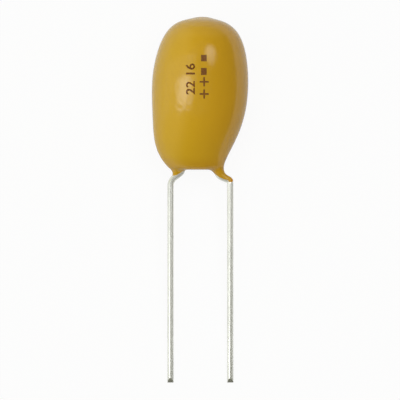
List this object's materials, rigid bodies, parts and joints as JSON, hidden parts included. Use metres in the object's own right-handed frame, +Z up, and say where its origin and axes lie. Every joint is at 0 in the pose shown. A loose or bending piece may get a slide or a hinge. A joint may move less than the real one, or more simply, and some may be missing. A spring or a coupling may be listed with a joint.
{
  "type": "dipped tantalum capacitor",
  "caption": "Dipped solid tantalum capacitor: egg-shaped amber resin bead over a sintered slug, with tinned round wire leads bent out to a wider pitch.",
  "frame": {"origin": "centre of the bounding box at the surface that the part lies on", "axes": "+Y from the wire tips to the head of the bead, within the few degrees by which the part lies tilted; +X from the negative lead to the positive one; +Z up, out of the marked face"},
  "size_m": [0.0082, 0.0308, 0.0077],
  "materials": {
    "epoxy_resin": "gloss",
    "sintered_tantalum": "matte",
    "tantalum_wire": "satin",
    "ptfe_washer": "satin",
    "manganese_dioxide": "matte",
    "graphite": "satin",
    "silver_paint": "satin",
    "solder": "satin",
    "tinned_wire": "polished"
  },
  "bodies": {
    "root": {"resin_coat": "epoxy_resin", "tantalum_slug": "sintered_tantalum", "riser_wire": "tantalum_wire", "insulating_washer": "ptfe_washer", "manganese_dioxide_layer": "manganese_dioxide", "graphite_layer": "graphite", "silver_layer": "silver_paint", "cathode_solder": "solder", "negative_lead": "tinned_wire", "positive_lead": "tinned_wire"}
  },
  "joints": []
}
